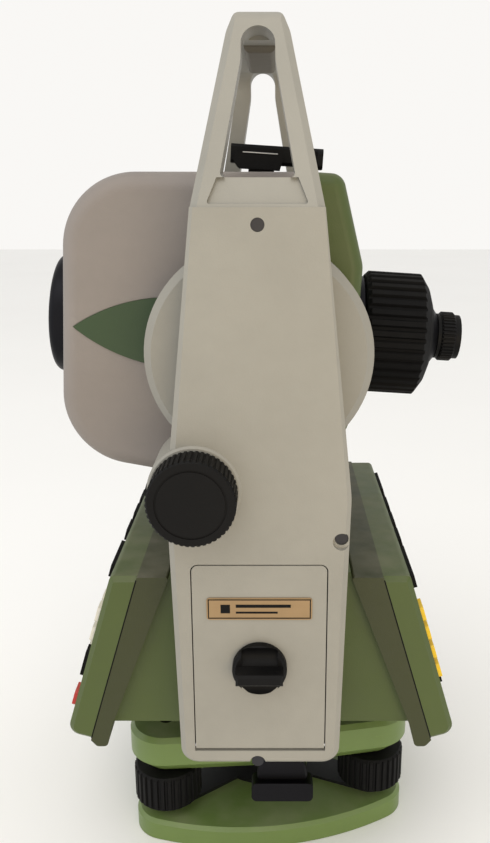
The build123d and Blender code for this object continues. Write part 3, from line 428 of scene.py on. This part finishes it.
def bar(name, body, slot, centre, turn, size, edge):
    """Small bar with bevelled edges."""
    flat_box(centre, turn, size)
    bpy.ops.object.mode_set(mode="EDIT")
    bpy.ops.mesh.select_all(action="SELECT")
    bpy.ops.mesh.bevel(offset=edge * MM, segments=2)
    return complete(name, body, slot)


def copy_piece(piece, name, body, offset):
    """Copy of a piece, with its own mesh, moved by an offset in mm."""
    bpy.ops.object.select_all(action="DESELECT")
    piece.select_set(True)
    bpy.context.view_layer.objects.active = piece
    bpy.ops.object.duplicate(linked=False)
    copy = bpy.context.object
    bpy.ops.object.mode_set(mode="EDIT")
    bpy.ops.mesh.select_all(action="SELECT")
    bpy.ops.transform.translate(value=Vector(offset) * MM)
    bpy.ops.object.mode_set(mode="OBJECT")
    copy.name = name
    copy.data.name = name
    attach(copy, body)
    return copy


# %% [markdown]
# ## Battery side
# A black rim with the rubber finish lies behind the gap round the battery door as painted shade, so the gap
# reads as a dark line.
# The label is a plain tan plate with a fine dark rim and three printed rules in place of any words.

# %% Painted gap shade and label
GAP_SHADE_CENTRE = (0, -91.4, 123.4)
LABEL_Y = -95.53
LABEL_Z = 146.0
LABEL_RULES = ((-13.0, 146.0, 3.6, 3.6), (1.5, 147.2, 21.0, 1.3), (-1.0, 144.5, 16.0, 0.8))

# The black rim behind the battery door's gap is painted shade: it stands in for the shade inside the gap.
made = [rim("door_gap_shade", "alidade", "black_rubber", GAP_SHADE_CENTRE, FACING_NEAR, (54.8, 84.1, 1.0), 3.0)]
made.append(rim("label_rim", "battery_door", "black_plastic", (0, LABEL_Y, LABEL_Z), FACING_NEAR,
                (39.3, 8.1, 0.14), 0.4))
for number, (x, z, width, height) in enumerate(LABEL_RULES):
    made.append(bar("label_rule_%d" % number, "battery_door", "black_plastic", (x, LABEL_Y, z), FACING_NEAR,
                    (width, height, 0.12), 0.04))
print("battery side pieces:", len(made))

# %% [markdown]
# ## Keyboards
# Each display has a raised bezel on the sloping face. At both ends of a keyboard its two shells
# meet in a seam, where a dark gasket shows as a line.

# %% Bezels and seams
BEZEL_PLACE = (71.35, -10.0, 115.57)
SEAM_PLACE = (61.39, -74.98, 110.97)
SEAM_SPREAD = 149.96

for side, half_turn, sign in (("right", 0.0, 1), ("left", math.pi, -1)):
    made.append(rim(side + "_display_bezel", "alidade", "black_plastic",
                    (sign * BEZEL_PLACE[0], sign * BEZEL_PLACE[1], BEZEL_PLACE[2]),
                    (0, KEY_SLOPE, half_turn), (46.0, 86.0, 0.5), 2.5))
    seam = bar(side + "_seam_near", "alidade", "black_rubber", (sign * SEAM_PLACE[0], *SEAM_PLACE[1:]),
               (0, sign * SEAM_LEAN, 0), (0.5, 0.3, 77.0), 0.08)
    made += [seam, copy_piece(seam, side + "_seam_far", "alidade", (0, SEAM_SPREAD, 0))]
print("pieces with the keyboards:", len(made))

# %% [markdown]
# ## Telescope
# The objective and the eyepiece get curved lenses in place of the plain discs, and the cheeks of
# the sight have a light line along their upper edges.

# %% Lenses and sight lines
OBJECTIVE_RINGS = [(-88.3, 2.5), (-88.1, 7.0), (-87.6, 12.0), (-86.8, 16.5), (-85.7, 20.7), (-83.0, 20.8)]
EYEPIECE_RINGS = [(86.3, 4.9), (87.5, 4.9), (88.0, 3.8), (88.3, 2.2), (88.4, 0.8)]
SIGHT_CHEEK_Y = 8.98

axis_centre = on_sight(0, 0, 0)
objective = round_piece("objective_front_lens", "telescope", "glass", axis_centre, SIGHT_LINE,
                        OBJECTIVE_RINGS)
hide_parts("objective_lens")
eye_lens = round_piece("eyepiece_front_lens", "eyepiece", "glass", axis_centre, SIGHT_LINE,
                       EYEPIECE_RINGS, 64)
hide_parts("eyepiece_lens")
line = bar("sight_line_near", "telescope", "steel", on_sight(-5.0, -SIGHT_CHEEK_Y, 75.0), (0, SIGHT_TILT, 0),
           (15.0, 0.3, 0.45), 0.06)
far_line = copy_piece(line, "sight_line_far", "telescope", (0, 2 * SIGHT_CHEEK_Y, 0))
made += [objective, eye_lens, line, far_line]
print("pieces with the telescope:", len(made))

# %% [markdown]
# ## Level and screws
# The circular level shows its bubble and the ring engraved round it. The far cover is held by four
# screws, whose heads have a sunk middle.

# %% Bubble and screw heads
LEVEL = (49.19, 37.74, 57.0)
BUBBLE_DRIFT = Vector((0.6, 0, 0))
FIRST_SCREW = (-21, 94.0, 92.0)
SCREW_STEPS = ((42, 0), (0, 66), (42, 66))

made.append(round_piece("level_bubble", "tribrach", "vial_glass", Vector(LEVEL) + BUBBLE_DRIFT, (0, 0, 1),
                        [(-0.2, 2.3), (0.05, 2.2), (0.2, 1.6), (0.26, 0.6)], 48))
ring = round_piece("level_ring", "tribrach", "black_metal", LEVEL, (0, 0, 1),
                   [(-0.1, 3.6), (0.12, 3.6), (0.12, 3.2), (-0.05, 3.15)], 64)
made.append(ring)
head = round_piece("far_cover_screw_1", "alidade", "black_screw", FIRST_SCREW, (0, 1, 0),
                   [(-1.5, 2.6), (1.3, 2.6), (1.7, 2.1), (1.7, 1.3), (0.7, 1.2)], 48)
made.append(head)
for number, (x, z) in enumerate(SCREW_STEPS, 2):
    made.append(copy_piece(head, "far_cover_screw_%d" % number, "alidade", (x, 0, z)))
print("pieces made here:", len(made))
